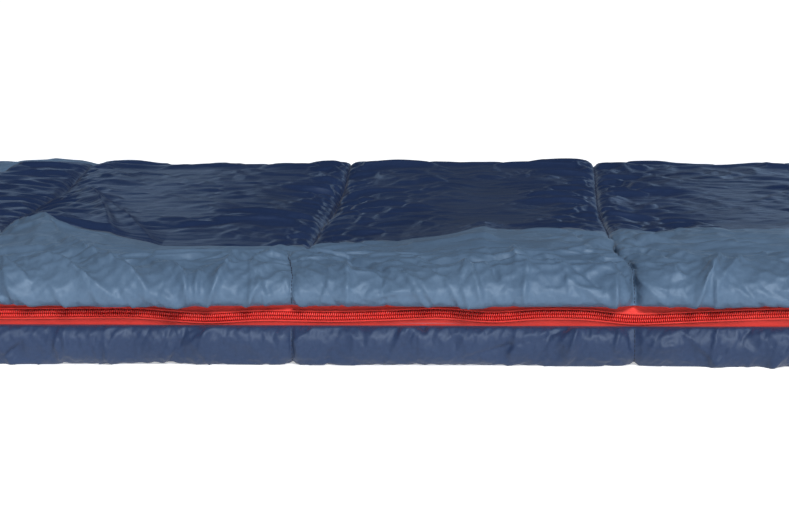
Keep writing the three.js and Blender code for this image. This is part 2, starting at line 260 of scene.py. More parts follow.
def settle_levels(bed, up, excess_of, locks, seed, steps, bend, floor):
    """Buckles a sheet on ever finer grids, so that it has large folds with smaller ones on them.

    excess_of(level) gives the cloth's spare length along X and along Y on the whole grid."""
    rng = np.random.RandomState(seed)
    spare = np.zeros_like(bed[:, :: 2 ** (LEVELS - 1), :: 2 ** (LEVELS - 1)])
    for level in range(LEVELS):
        every = 2 ** (LEVELS - 1 - level)
        coarse_bed = bed[:, ::every, ::every] + spare
        normal = normals_of(coarse_bed, up)
        excess = [e[::every, ::every] for e in excess_of(level)]
        cloth = Cloth(coarse_bed, normal, excess, bend[level])
        spacing = np.median(abs(np.diff(coarse_bed[1], axis=1)))
        shake = 0.12 * spacing * rng.uniform(-1, 1, normal.shape[1:])
        cloth.at += (normal * shake).astype(np.float32)
        held = [(mask[::every, ::every], strength) for mask, strength in locks]
        at = cloth.settle(steps[level], held, floor[::every, ::every])
        spare = at - bed[:, ::every, ::every]
        if every > 1:
            spare = finer(spare)
    return at


# ---------------------------------------------------------------- the shape of a quilt
def bulging_side(shoulder, belly):
    """Out from the hem under the bulge, then in over the shoulder: distances in, and shares of the rise."""
    t = np.linspace(0, math.pi / 2, 60)
    inset = np.r_[HEM_DEPTH * (1 - np.sin(t)), (shoulder * (1 - np.cos(t)))[1:]]
    share = np.r_[belly * (1 - np.cos(t)), (belly + (1 - belly) * np.sin(t))[1:]]
    return inset, share


class Quilt:
    """Grid over one quilt's outer cloth as it was cut: columns along X, rows from the zip to the fold.

    side is how its side goes in from the hem: the distance in from the bag's side, and the share of rise,
    the sheet's height, that is reached there."""

    def __init__(self, rise, side, step_x, step_y):
        self.rise = rise
        self.inset, self.share = side
        steps = np.hypot(np.diff(self.inset), np.diff(self.share) * rise)
        self.along = np.r_[0, np.cumsum(steps)]
        self.extra = e = self.along[-1] - self.inset[-1]  # cloth beyond the plan, to go round the side
        self.u = divided([X0 - e, *SEAMS, X1 + e], step_x)
        self.v = divided([Y0 - e, ZIP_Y, Y0 + NEAR_STRIP, Y1 - NEAR_STRIP, Y1], step_y)
        self.shape = (len(self.u), len(self.v))
        self.U, self.V = np.meshgrid(self.u, self.v, indexing="ij")
        self.seam_columns = [int(np.argmin(abs(self.u - s))) for s in SEAMS]
        self.plan()

    def plan(self):
        """Where each node lies in plan, how far from the hem, and how far round the side it is."""
        U, V, e = self.U, self.V, self.extra
        ends = np.minimum(U - (X0 - e), (X1 + e) - U)
        near = V - (Y0 - e)
        inset_of = lambda d: np.where(d < self.along[-1], np.interp(d, self.along, self.inset), d - e)
        x = np.where(U < 0, X0 + inset_of(ends), X1 - inset_of(ends))
        y = Y0 + inset_of(near)
        hem = np.minimum(ends, near)
        for cx, r, sx in ((X0 + HEAD_CORNER, HEAD_CORNER, -1), (X1 - ZIP_CORNER, ZIP_CORNER, 1)):
            cy = Y0 + r
            a, b = (U - cx) * sx, cy - V
            inside = (a > 0) & (b > 0)
            reach = np.hypot(a, b) + 1e-9
            d = r + e - np.maximum(a, b)
            radius = r - inset_of(d)
            x = np.where(inside, cx + sx * a * radius / reach, x)
            y = np.where(inside, cy - b * radius / reach, y)
            hem = np.where(inside, d, hem)
        self.x, self.y, self.hem = x, y, hem
        even = -12 * np.log(np.exp(-clamp(ends, 0, 120) / 12) + np.exp(-clamp(near, 0, 120) / 12))
        self.side_share = np.interp(np.where(hem < 30, hem, np.maximum(even, 30)), self.along, self.share)

    def seam_valley(self, depth_of, sharpness=2.2, reach=None):
        """Share of the loft that the quilting seams leave; depth_of gives it at each seam, by index."""
        reach = reach or SEAM_GAP / 2
        total = np.ones(self.shape)
        for i, s in enumerate(SEAMS):
            t = clamp(abs(self.U - s) / reach)
            total -= (1 - depth_of(i)) * (1 - np.sqrt(1 - (1 - t) ** sharpness + 1e-9))
        return total

    def seam_distance(self):
        return np.min([abs(self.U - s) for s in SEAMS], axis=0)

    def hem_nodes(self):
        hem = np.zeros(self.shape, bool)
        hem[[0, -1], :] = hem[:, [0, -1]] = True
        return hem

    def stitched_nodes(self):
        stitched = np.zeros(self.shape, bool)
        stitched[self.seam_columns, ::2] = True
        return stitched

    def cut(self):
        """Each node's place on the cloth as it was cut, which the weave follows."""
        return np.stack([self.U.ravel(), self.V.ravel(), np.zeros(self.U.size)], -1)


def fold_height(quilt, points, height, width, out):
    """Adds one fold to `out`: a smooth line of (x, distance from the hem) points, steep on its right
    side and gentle on its left, fading out at both ends."""
    share = np.linspace(0, 1, 24)
    knots = np.linspace(0, 1, len(points))
    px = np.interp(share, knots, [p[0] for p in points])
    pv = np.interp(share, knots, [p[1] for p in points])
    for _ in range(4):
        px[1:-1], pv[1:-1] = (px[:-2] + px[2:]) / 2, (pv[:-2] + pv[2:]) / 2
    margin = 5 * width
    first, last = np.searchsorted(quilt.u, (px.min() - margin, px.max() + margin))
    v0 = quilt.v[0]
    low, high = np.searchsorted(quilt.v, (v0 + pv.min() - margin, v0 + pv.max() + margin))
    window = (slice(first, last), slice(low, high))
    at_x, at_v = quilt.U[window], quilt.V[window] - v0
    near = np.full(at_x.shape, 1e9)
    side, taper = np.zeros(at_x.shape), np.zeros(at_x.shape)
    for k in range(len(share) - 1):
        dx, dv = px[k + 1] - px[k], pv[k + 1] - pv[k]
        wx, wv = at_x - px[k], at_v - pv[k]
        t = clamp((wx * dx + wv * dv) / (dx * dx + dv * dv + 1e-9))
        distance = np.hypot(wx - t * dx, wv - t * dv)
        closer = distance < near
        near = np.where(closer, distance, near)
        side = np.where(closer, wx * dv - wv * dx, side)
        taper = np.where(closer, share[k] + t / len(share), taper)
    spread = width * np.where(side < 0, 0.45, 1.4)
    fade = np.sin(math.pi * clamp(taper, 0.0, 1.0)) ** 0.7
    out[window] += height * np.exp(-(near / spread) ** 1.1) * fade


def folds_by_hand(quilt, folds):
    total = np.zeros(quilt.shape)
    for points, height, width in folds:
        fold_height(quilt, points, height, width, total)
    return total


def small_creases(quilt, count, seed, place, angle, turn, length, height, width):
    """Many short folds. place(rng) gives where the next one is; angle is from X, in radians, and turn its
    spread; length, height and half width are (least, most) in mm. Every third one is a valley."""
    rng = np.random.RandomState(seed)
    total = np.zeros(quilt.shape)
    for k in range(count):
        x, v = place(rng)
        aim = rng.normal(angle, turn)
        half = rng.uniform(*length) / 2
        size = rng.uniform(0, 1) ** 1.6
        dx, dv = half * math.cos(aim), half * math.sin(aim)
        bow = rng.uniform(-0.15, 0.15)
        points = [(x - dx, v - dv), (x - bow * dv, v + bow * dx), (x + dx, v + dv)]
        rise = height[0] + (height[1] - height[0]) * size
        wide = width[0] + (width[1] - width[0]) * size
        fold_height(quilt, points, -rise if k % 3 == 2 else rise, wide, total)
    return total


# ---------------------------------------------------------------- meshes
def new_object(name, points, faces, body, slot, attributes=None):
    """A smooth mesh from points in mm and arrays of triangles and quads, riding on a body."""
    used = np.unique(np.concatenate([f.ravel() for f in faces]))
    order = np.zeros(len(points), np.int32)
    order[used] = np.arange(len(used))
    mesh = bpy.data.meshes.new(name)
    mesh.vertices.add(len(used))
    mesh.vertices.foreach_set("co", (points[used] * MM).astype(np.float32).ravel())
    corners = np.concatenate([order[f].ravel() for f in faces]).astype(np.int32)
    sizes = np.concatenate([np.full(len(f), f.shape[1]) for f in faces])
    mesh.loops.add(len(corners))
    mesh.loops.foreach_set("vertex_index", corners)
    mesh.polygons.add(len(sizes))
    mesh.polygons.foreach_set("loop_start", np.r_[0, np.cumsum(sizes)[:-1]].astype(np.int32))
    mesh.update(calc_edges=True)
    mesh.polygons.foreach_set("use_smooth", np.ones(len(sizes), bool))
    for key, values in (attributes or {}).items():
        attribute = mesh.attributes.new(key, "FLOAT_VECTOR", "POINT")
        attribute.data.foreach_set("vector", (values[used] * MM).astype(np.float32).ravel())
    obj = linked(name, mesh)
    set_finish(obj, slot)
    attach(obj, body)
    return obj


def grid_quads(nx, ny, turned=False):
    """Quads of a grid of nx by ny points."""
    index = np.arange(nx * ny).reshape(nx, ny)
    quads = np.stack([index[:-1, :-1], index[1:, :-1], index[1:, 1:], index[:-1, 1:]], -1).reshape(-1, 4)
    return quads[:, ::-1] if turned else quads


def thicken(obj, thickness):
    """Gives a sheet its thickness, on its inner side."""
    solidify = obj.modifiers.new("thickness", "SOLIDIFY")
    solidify.thickness = thickness * MM
    solidify.offset = -1
    return obj


def flat_points(grid):
    return grid.reshape(3, -1).T


def declare_sheet(faces, cut):
    """Works out a sheet's extent and its area on the cloth as it was cut; nothing uses them."""
    cut = cut * MM
    area = 0.0
    for group in faces:
        x, y = cut[group][:, :, 0], cut[group][:, :, 1]
        area += abs((x * np.roll(y, -1, 1) - y * np.roll(x, -1, 1)).sum(1)).sum() / 2
    used = cut[np.unique(np.concatenate([f.ravel() for f in faces]))]
    length, width = used[:, :2].max(0) - used[:, :2].min(0)
    area = min(area, width * length)


CLOTH = 0.35  # thickness of the shell fabric and the lining


def whole_sheet(q, at, up, node, slot, turned):
    """A sheet over a quilt's whole grid, in the place of a plain node."""
    faces, cut = [grid_quads(*q.shape, turned=turned)], q.cut()
    sheet = new_object(f"{node}_cloth", flat_points(at), faces, BODY[up], slot, {"cut": cut})
    thicken(sheet, CLOTH)
    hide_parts(node)
    declare_sheet(faces, cut)


def add_creases(q, at, up, creases, hem_reach, seam_reach, pinch):
    """Raises creases on a sheet, fading out at its hem, seams and fold, and draws it in along its seams."""
    seam, off_fold = q.seam_distance(), smooth((Y1 - q.y) / 60)
    steady = smooth(q.hem / hem_reach) * smooth(seam / seam_reach) * off_fold
    drawn_in = pinch * np.exp(-seam / 2.0) * smooth((q.hem - 3) / 5) * off_fold
    at += normals_of(np.array([blurred(axis, 3) for axis in at]), up) * (creases * steady - drawn_in)


# ---------------------------------------------------------------- top quilt's outside
# Folds that show most, listed: points (x, distance from the hem), height and half width.
NEAR_FOLDS = [
    ([(-310, 200), (-295, 145), (-275, 105), (-250, 65), (-225, 40), (-215, 30), (-205, 15)], 9, 6.5),
    ([(-295, 70), (-280, 60), (-250, 30), (-235, 20), (-220, 10)], 6, 5.5),
    ([(-315, 60), (-305, 50), (-285, 25)], 6, 4.5),
    ([(-210, 65), (-185, 35), (-180, 10)], 7, 4.5),
    ([(-175, 40), (-175, 10)], 4.5, 3.5),
    ([(-150, 70), (-160, 30), (-170, 5)], 6, 4.5),
    ([(-130, 30), (-145, 5)], 4, 3.5),
    ([(-200, 20), (-180, 5)], 4.5, 3.5),
    ([(-75, 60), (-75, 5)], 4, 3.5),
    ([(0, 60), (15, 5)], 4.5, 4.5),
    ([(45, 70), (40, 10)], 3, 4.5),
    ([(100, 35), (100, 5)], 5.5, 3.5),
    ([(175, 60), (165, 35), (150, 5)], 7.5, 4.5),
    ([(190, 60), (165, 20)], 5.5, 5.5),
    ([(150, 50), (140, 40), (145, 30)], 4.5, 4.5),
    ([(-310, 380), (-280, 270), (-255, 170)], 7.5, 8),
    ([(-310, 380), (-260, 250), (-225, 175)], 5.5, 7),
]


# How the seams in view wander to the side, by seam: (distance in from the side, shift along X).
SEAM_BENDS = {
    3: [(0, 0), (12, 0), (45, -5.5), (130, -0.5), (340, 4.5), (700, 6)],
    4: [(0, 0), (18, -0.5), (34, -3), (60, -9), (100, -11), (330, -11), (700, 0)],
}


# How much higher or lower the top is, about 120 mm in from the zipped side, by x.
NEAR_HEIGHTS = [(-420, 0), (-330, 2), (-300, 4), (-260, -2), (-235, -7), (-220, -10), (-150, -9), (-110, -7),
                (-45, -7), (20, 3), (105, 1.5), (130, 2), (185, 5), (230, 5), (330, 0)]


# How much higher the top is along its crest, near the far side, by x.
CREST_HEIGHTS = [(-300, 3), (-60, 4), (60, 4), (160, 1.8)]


def in_view(x):
    return -420 < x < 330


def seam_shift(q, inset):
    """Side shift of the cloth, which follows the bent seams and fades out between them."""
    return sum(np.interp(inset, *zip(*path)) * smooth(1 - abs(q.U - SEAMS[i]) / SEAM_GAP)
               for i, path in SEAM_BENDS.items())


# Where the next small crease goes: its x, and its distance from the hem.
def near_side(rng):
    return rng.uniform(-450, 350), rng.uniform(4, 70)


def over_the_edge(rng):
    return rng.uniform(-450, 350), rng.uniform(45, 135)


def beside_seams(rng):
    seam = SEAMS[rng.randint(0, 8)]
    return seam + rng.choice([-1, 1]) * rng.uniform(6, 62), rng.uniform(45, 690)


def at_stitches(rng):
    return SEAMS[rng.randint(0, 8)] + rng.choice([-1, 1]) * rng.uniform(2, 5), rng.uniform(12, 690)


def anywhere(rng):
    return rng.uniform(X0 + 40, X1 - 40), rng.uniform(60, 690)


# Small creases of the top quilt: how many, seed, where, (angle from X, its spread), the least and most
# length, height and half width, and the share of the height that is left where the grid is coarse.
TOP_CREASES = [
    (170, 71, near_side, (2.05, 0.45), (16, 70), (0.5, 3.5), (1.2, 3.6), 1),
    (130, 75, over_the_edge, (0, 0.16), (50, 190), (0.8, 3.4), (3.0, 7.0), 1),
    (620, 72, beside_seams, (0, 0.22), (18, 80), (0.25, 1.4), (1.3, 3.6), 0.55),
    (380, 73, anywhere, (0.1, 0.3), (35, 160), (0.3, 2.0), (2.5, 6.0), 1),
    (900, 74, at_stitches, (0, 0.25), (7, 15), (0.3, 1.0), (1.0, 1.6), 0.25),
]


def top_quilt():
    q = Quilt(TOP - HEM_Z[1], bulging_side(50, 0.26),
              step_x=lambda x: 1.3 if in_view(x) else 4.0,
              step_y=lambda y: 1.3 if y < Y0 + NEAR_STRIP else 2.6)
    inset = q.y - Y0
    rng = np.random.RandomState(4)
    # How much of the loft is left at each seam: less at the back, and more along the crest and on the side.
    back_valley, near_valley = rng.uniform(0.5, 0.65, 8), rng.uniform(0.6, 0.8, 8)
    back_valley[3:5], near_valley[3:5] = (0.44, 0.84), (0.66, 0.87)
    back = smooth((inset - 120) / 300)
    crest = smooth((inset - 420) / 120)
    on_face = smooth((110 - q.hem) / 50)

    def share_of(i):
        depth = near_valley[i] + (back_valley[i] - near_valley[i]) * back
        return depth + (1 - depth) * np.maximum(0.75 * crest, (0.75 if i == 3 else 0.3) * on_face)

    valley = q.seam_valley(share_of, sharpness=2.8)
    # The loft itself, low in the middle, with a crest near the fold and its own heights near the zip.
    crest_height, near_height = (np.interp(q.U, *zip(*heights)) for heights in (CREST_HEIGHTS, NEAR_HEIGHTS))
    loft = q.rise - 1.5 - 4 * smooth((inset - 110) / 150) + crest_height * smooth((inset - 330) / 170)
    loft -= 3 * smooth((inset - 580) / 60)
    loft += near_height * smooth((inset - 40) / 70) * smooth((240 - inset) / 100)
    loft -= 4.5 * smooth((q.U - SEAMS[4]) / 30) * bell((inset - 240) / 110)
    lumps = 1.6 * noise_field(q.shape, (16, 6), 11) + 0.9 * noise_field(q.shape, (40, 14), 12)
    puffed = 6 * bell((q.U + 312) / 38) * smooth((inset - 90) / 80) * smooth((540 - inset) / 80)
    height = (loft * valley + (lumps + puffed) * smooth((q.hem - 20) / 40)) * q.side_share
    fold_share = clamp((Y1 - q.y) / 220) ** 0.7
    z = FOLD_Z + (HEM_Z[1] - FOLD_Z + height) * fold_share
    # The stitches draw the side in, most of all at SEAMS[4].
    tuck = sum((9 if i == 4 else 1.6) * np.exp(-abs(q.U - s) / (3.2 if i == 4 else 8))
               for i, s in enumerate(SEAMS))
    face = smooth(q.hem / 12) * smooth((75 - q.hem) / 30) * (q.V < Y0 + NEAR_STRIP)
    bed = np.array([q.x + seam_shift(q, inset), q.y + tuck * face, z])

    # Where there is spare cloth to buckle: along the hem, and more along the seams.
    seam, near_hem = q.seam_distance(), np.exp(-q.hem / 40)
    near_seam = smooth((q.hem - 8) / 40) * smooth((Y1 - q.y) / 200)
    near_seam = near_seam * clamp(0.5 + 1.5 * noise_field(q.shape, (22, 34), 13), 0, 1.8)

    def excess_of(level):
        hem_share, seam_share = (0.001, 0.003, 0.004, 0.004)[level], (0.003, 0.028, 0.045, 0.035)[level]
        plain = (0.004, 0.006, 0.006, 0.004)[level]
        reach = (90, 75, 50, 25)[level]
        return plain + hem_share * near_hem, plain + seam_share * np.exp(-seam / reach) * near_seam

    locks = [(q.hem_nodes(), (1, 1, 1)), (q.stitched_nodes(), (0.6, 0.35, 0.6))]
    bend = [(0.15, 0.03), (0.25, 0.02), (0.20, 0.012), (0.08, 0.01)]
    floor = np.where(q.hem < 60, HEM_Z[1] - 0.8 * smooth((q.hem - 4) / 6), 0)
    at = settle_levels(bed, 1, excess_of, locks, 5, (160, 160, 160, 120), bend, floor)
    creases = folds_by_hand(q, NEAR_FOLDS)
    fine = smooth((q.U + 460) / 40) * smooth((370 - q.U) / 40)  # 1 where the grid is fine
    for count, seed, place, (angle, turn), length, height, width, coarse_share in TOP_CREASES:
        some = small_creases(q, count, seed, place, angle, turn, length, height, width)
        creases += some * (coarse_share + (1 - coarse_share) * fine)
    add_creases(q, at, 1, creases, hem_reach=8, seam_reach=2, pinch=1.4)
    at[1] += 5.5 * np.exp(-abs(q.U - SEAMS[4]) / 2.0) * smooth((q.hem - 12) / 14) * smooth((60 - q.hem) / 30)
    at[2] = clamp(at[2], floor, TOP_LIMIT)
    return q, at


def panel_distance(q):
    """How far inside the navy centre panel each node is; the panel's corners at the head are round."""
    half = (Y1 - Y0) / 2 - BAND
    dx = HEAD_EDGE + PANEL_CORNER - q.U
    dy = abs(q.V - (Y0 + Y1) / 2) - (half - PANEL_CORNER)
    return PANEL_CORNER - np.where((dx > 0) & (dy > 0), np.hypot(dx, dy), np.maximum(dx, dy))


def cut_along(at, inside):
    """Moves the nodes nearest to where `inside` is 0 onto that line. Gives the moved grid, and which
    nodes are on the line."""
    moved, on = at.copy(), np.zeros(inside.shape, bool)
    for axis in (0, 1):
        n = inside.shape[axis]
        a = tuple(slice(0, n - 1) if k == axis else slice(None) for k in (0, 1))
        b = tuple(slice(1, n) if k == axis else slice(None) for k in (0, 1))
        crossed = (inside[a] > 0) != (inside[b] > 0)
        t = np.where(crossed, inside[a] / (inside[a] - inside[b] + 1e-12), 0)
        place = at[(slice(None), *a)] + t * (at[(slice(None), *b)] - at[(slice(None), *a)])
        for part, pick in ((a, crossed & (t < 0.5)), (b, crossed & (t >= 0.5))):
            pick = pick & ~on[part]
            target = moved[(slice(None), *part)]
            target[:, pick] = place[:, pick]
            on[part] |= pick
    return moved, on


def top_panels(q, at):
    inside = panel_distance(q)
    normal = normals_of(at, 1)
    groove = 0.7 * np.exp(-abs(inside) / 2.5) + 0.35 * smooth(inside / 2) * np.exp(-clamp(inside, 0, 99) / 8)
    at, on = cut_along(at - normal * groove, inside)
    sign = np.where(on, 0, np.sign(inside)).ravel()
    quads = grid_quads(*q.shape)
    signs = sign[quads]
    mixed = (signs.max(1) > 0) & (signs.min(1) < 0)
    plain = quads[~mixed]
    split = quads[mixed]
    first = on.ravel()[split[:, 0]] & on.ravel()[split[:, 2]]
    halves = [split[first][:, [0, 1, 2]], split[first][:, [0, 2, 3]],
              split[~first][:, [0, 1, 3]], split[~first][:, [1, 2, 3]]]
    triangles = np.concatenate(halves)
    points, cut = flat_points(at), q.cut()
    regions = {
        "top_centre_panel": ("shell_navy", lambda s, x, y: s > 0),
        "top_near_band": ("shell_slate", lambda s, x, y: (s <= 0) & (x > HEAD_EDGE) & (y < 0)),
        "top_far_band": ("shell_slate", lambda s, x, y: (s <= 0) & (x > HEAD_EDGE) & (y > 0)),
        "top_head_panel": ("shell_slate", lambda s, x, y: (s <= 0) & (x <= HEAD_EDGE)),
    }
    for name, (slot, belongs) in regions.items():
        faces = []
        for group in (plain, triangles):
            middle = cut[group].mean(1)
            faces.append(group[belongs(sign[group].sum(1), middle[:, 0], middle[:, 1])])
        panel = thicken(new_object(f"{name}_cloth", points, faces, "top_quilt", slot, {"cut": cut}), CLOTH)
        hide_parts(name)
        declare_sheet(faces, cut)


# ---------------------------------------------------------------- bottom quilt's outside
def round_the_side(rng):
    return rng.uniform(X0 + 20, X1 - 20), rng.uniform(2, 44)


def bottom_quilt():
    q = Quilt(HEM_Z[-1] - 0.3, bulging_side(13, 0.42),
              step_x=lambda x: 1.3 if in_view(x) else 4.0,
              step_y=lambda y: 1.3 if y < Y0 + NEAR_STRIP else 6.0)
    inset = q.y - Y0
    valley = q.seam_valley(lambda i: 0.72 + 0.27 * smooth((120 - inset) / 90), reach=24)
    fold_share = clamp((Y1 - q.y) / 60) ** 0.6
    lumps = 0.7 * noise_field(q.shape, (40, 14), 22)
    height = (q.rise * valley + lumps * smooth(q.hem / 30)) * q.side_share
    z = FOLD_Z + (HEM_Z[-1] - FOLD_Z - height) * fold_share
    tuck = sum(1.6 * np.exp(-abs(q.U - s) / 5) for s in SEAMS)
    face = smooth(q.hem / 12) * smooth((45 - q.hem) / 20) * (q.V < Y0 + NEAR_STRIP)
    wander = 1.2 * noise_field(q.shape, (60, 8), 23) * face
    bed = np.array([q.x, q.y + (tuck + wander) * face, z])
    seam, near_hem = q.seam_distance(), np.exp(-q.hem / 45)
    near_seam = smooth((q.hem - 8) / 40) * smooth((Y1 - q.y) / 60)

    def excess_of(level):
        hem_share, seam_share = (0.003, 0.010, 0.018, 0.014)[level], (0.005, 0.02, 0.025, 0.01)[level]
        plain = (0.003, 0.004, 0.003, 0.002)[level]
        return plain + hem_share * near_hem, plain + seam_share * np.exp(-seam / 30) * near_seam

    locks = [(q.hem_nodes(), (1, 1, 1)), (q.stitched_nodes(), (0.6, 0.3, 0.6))]
    bend = [(0.08, 0.06), (0.05, 0.05), (0.03, 0.03), (0.02, 0.02)]
    at = settle_levels(bed, -1, excess_of, locks, 6, (120, 120, 100, 80), bend, np.full(q.shape, 0.1))
    creases = small_creases(q, 260, 81, round_the_side, 1.9, 0.5, (18, 60), (0.4, 3.4), (1.2, 3.8))
    add_creases(q, at, -1, creases, hem_reach=6, seam_reach=3, pinch=1.0)
    at[2] = clamp(at[2], 0.1, np.where(q.hem < 60, HEM_Z[-1] + 0.8 * smooth((q.hem - 4) / 6), FOLD_Z))
    return q, at




# ---------------------------------------------------------------- linings
def lining(up):
    """The inner sheet of a quilt: quilted, rising to its hem at the sides and to the fold at the back."""
    to_hem = (np.array([11.1, 14.5, 22, 40]), np.array([1.0, 0.75, 0.12, 0.0]))
    q = Quilt(2.6, to_hem, step_x=lambda x: 4.5, step_y=lambda y: 5.5)
    off_hem = smooth((q.hem - 12) / 40)
    dip = 4.0 * (1 - q.seam_valley(lambda i: 0.0, reach=34)) * off_hem
    puff = 0.8 * noise_field(q.shape, (30, 12), 31 + up) * off_hem
    to_fold = smooth(1 - (Y1 - q.y) / 24)
    z = LINING_Z[up] + up * (q.rise * q.side_share + (dip + puff) * (1 - to_fold))
    z += (FOLD_Z + 0.3 * up - z) * to_fold
    bed = np.array([q.x, q.y, z])
    seam = q.seam_distance()
    inner = smooth(q.hem / 30) * smooth((Y1 - q.y) / 40)

    def excess_of(level):
        plain = (0.0, 0.002, 0.004, 0.003)[level]
        seam_share = (0.0, 0.004, 0.016, 0.014)[level]
        return plain * inner, (plain + seam_share * np.exp(-seam / 28)) * inner

    locks = [(q.hem_nodes(), (1, 1, 1)), (q.stitched_nodes(), (0.6, 0.2, 0.6))]
    at = settle_levels(bed, -up, excess_of, locks, 40 + up, (20, 60, 80, 60), [(0.2, 0.05)] * 4,
                       np.full(q.shape, 0.1))
    at[2] = np.maximum(at[2], bed[2] - 1.8) if up > 0 else np.minimum(at[2], bed[2] + 1.8)
    whole_sheet(q, at, up, f"{SIDE[up]}_lining", "lining", turned=up > 0)
    return q, at


# ---------------------------------------------------------------- fillings
def batting(up, q, shell_at):
    """The filling: a closed slab under the shell, thinner at every seam. It stays clear of the bag's sides,
    and further from the fold in the top quilt, which turns down to it."""
    every, side_gap, fold_gap = 4, 20, (60 if up > 0 else 26)
    columns = np.searchsorted(q.x[:, len(q.v) // 2], (X0 + side_gap, X1 - side_gap))
    rows = np.searchsorted(q.y[len(q.u) // 2], (Y0 + side_gap, Y1 - fold_gap))
    block = (slice(None), slice(*columns, every), slice(*rows, every))
    soft = np.array([blurred(axis, 6) for axis in shell_at])
    clear = 3.2 + 7 * np.exp(-q.seam_distance() / 9)
    outer = (soft - clear * normals_of(soft, up))[block]
    inner = outer.copy()
    off_seam = np.min([clamp(abs(inner[0] - s) / 34) for s in SEAMS], axis=0)
    inner[2] = LINING_Z[up] + up * (3.4 + 4.6 * (1 - np.sqrt(1 - (1 - off_seam) ** 2.2 + 1e-9)))
    outer[2] = np.maximum(outer[2], inner[2] + 1) if up > 0 else np.minimum(outer[2], inner[2] - 1)
    nx, ny = outer.shape[1:]
    points = np.concatenate([flat_points(outer), flat_points(inner)])
    index = np.arange(nx * ny).reshape(nx, ny)
    rim = np.concatenate([index[:-1, 0], index[-1, :-1], index[:0:-1, -1], index[0, :0:-1]])
    ahead = np.roll(rim, -1)
    walls = np.stack([rim, rim + nx * ny, ahead + nx * ny, ahead], -1)
    faces = np.concatenate([grid_quads(nx, ny), grid_quads(nx, ny, turned=True) + nx * ny, walls])
    slab = new_object(f"{SIDE[up]}_filling", points, [faces[:, ::up]], BODY[up], "filling")
    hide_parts(f"{SIDE[up]}_batting")


# ---------------------------------------------------------------- rows of stitches
def tube_faces(count, sides, turned=False):
    """Quads between rings of points, and the two end faces, for a tube that is closed. They face out if the
    rings turn anticlockwise, as seen from the tube's far end, or else if they are turned."""
    index = np.arange(count * sides).reshape(count, sides)
    ahead = np.roll(index, -1, axis=1)
    quads = np.stack([index[:-1], ahead[:-1], ahead[1:], index[1:]], -1).reshape(-1, 4)
    faces = [quads, np.stack([index[0][::-1], index[-1]])]
    return [f[:, ::-1] for f in faces] if turned else faces


def thread(path, across, out, radii, sides=6):
    """A round thread along a path: its points and faces. Its rings lie in the directions across and out."""
    turn = np.arange(sides) * 2 * math.pi / sides
    rings = [p + r * (np.cos(turn)[:, None] * a + np.sin(turn)[:, None] * b)
             for p, a, b, r in zip(path, across, out, radii)]
    return np.concatenate(rings), tube_faces(len(path), sides)


def stitch(length, radius):
    """One stitch, lying along X, with its ends sunk into the cloth."""
    along = np.array([-0.5, -0.36, 0.0, 0.36, 0.5]) * length
    dip = np.array([-0.9, -0.25, 0.0, -0.25, -0.9]) * radius
    radii = np.array([0.35, 0.85, 1.0, 0.85, 0.35]) * radius
    path = np.stack([along, 0 * along, dip], -1)
    return thread(path, [(0, 1, 0)] * len(path), [(0, 0, 1)] * len(path), radii)


def copies(shape, places, frames):
    """Points and faces of a shape repeated at places, turned into frames of shape (n, 3 axes, 3)."""
    points, faces = shape
    all_points = places[:, None, :] + np.einsum("pa,nak->npk", points, frames)
    shift = (np.arange(len(places)) * len(points))[:, None, None]
    return all_points.reshape(-1, 3), [(f[None] + shift).reshape(-1, f.shape[1]) for f in faces]


def frames_along(line, up):
    """Places evenly along a line of points, with axes along it, across it, and outward."""
    tangent = np.gradient(line, axis=0)
    tangent /= np.linalg.norm(tangent, axis=1)[:, None] + 1e-9
    across = np.cross(up, tangent)
    across /= np.linalg.norm(across, axis=1)[:, None] + 1e-9
    return np.stack([tangent, across, np.cross(tangent, across)], 1)


def resampled(line, step):
    lengths = np.r_[0, np.cumsum(np.linalg.norm(np.diff(line, axis=0), axis=1))]
    at = np.arange(step / 2, lengths[-1], step)
    return np.stack([np.interp(at, lengths, axis) for axis in line.T], -1)


def seam_stitches(up, quilt, at, lining_quilt, lining_at):
    """The rows of stitches along a quilt's seams, on its outside and on its lining."""
    sheets = [(quilt, at, normals_of(at, up)), (lining_quilt, lining_at, normals_of(lining_at, -up))]
    for i in range(len(SEAMS)):
        places, frames = [], []
        for q, sheet, out in sheets:
            column = q.seam_columns[i]
            keep = (q.hem[column] > 3) & (q.v < Y1 - 6)
            line = resampled(sheet[:, column, keep].T.astype(float), 3.3)
            facing = np.tile(out[:, column, keep].mean(1), (len(line), 1))
            places.append(line + 0.25 * facing)
            frames.append(frames_along(line, facing))
        points, faces = copies(stitch(2.5, 0.42), np.concatenate(places), np.concatenate(frames))
        name = f"{SIDE[up]}_seam_{i + 1}"
        row = new_object(f"{name}_stitches", points, faces, BODY[up], "thread")
        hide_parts(name)


# ---------------------------------------------------------------- zip
ZIP_R = ZIP_CORNER - HEM_DEPTH
SIDE_RUN = ZIP_X - ZIP_R  # x where the zip starts round the corner
ARC = ZIP_R * math.pi / 2
HALF = {1: "upper", -1: "lower"}


def foot_run(y):
    """How far along the zip a place on the foot side is, from x = 0 on the long side."""
    return SIDE_RUN + ARC + y - (ZIP_Y + ZIP_R)


def zip_run(up):
    """Where one half of the zip starts, at the head, and where it ends, near the fold."""
    low, high = node_box(f"zip_tape_{HALF[up]}")
    return low[0], foot_run(high[1])


ZIP_RUN = {up: zip_run(up) for up in (1, -1)}


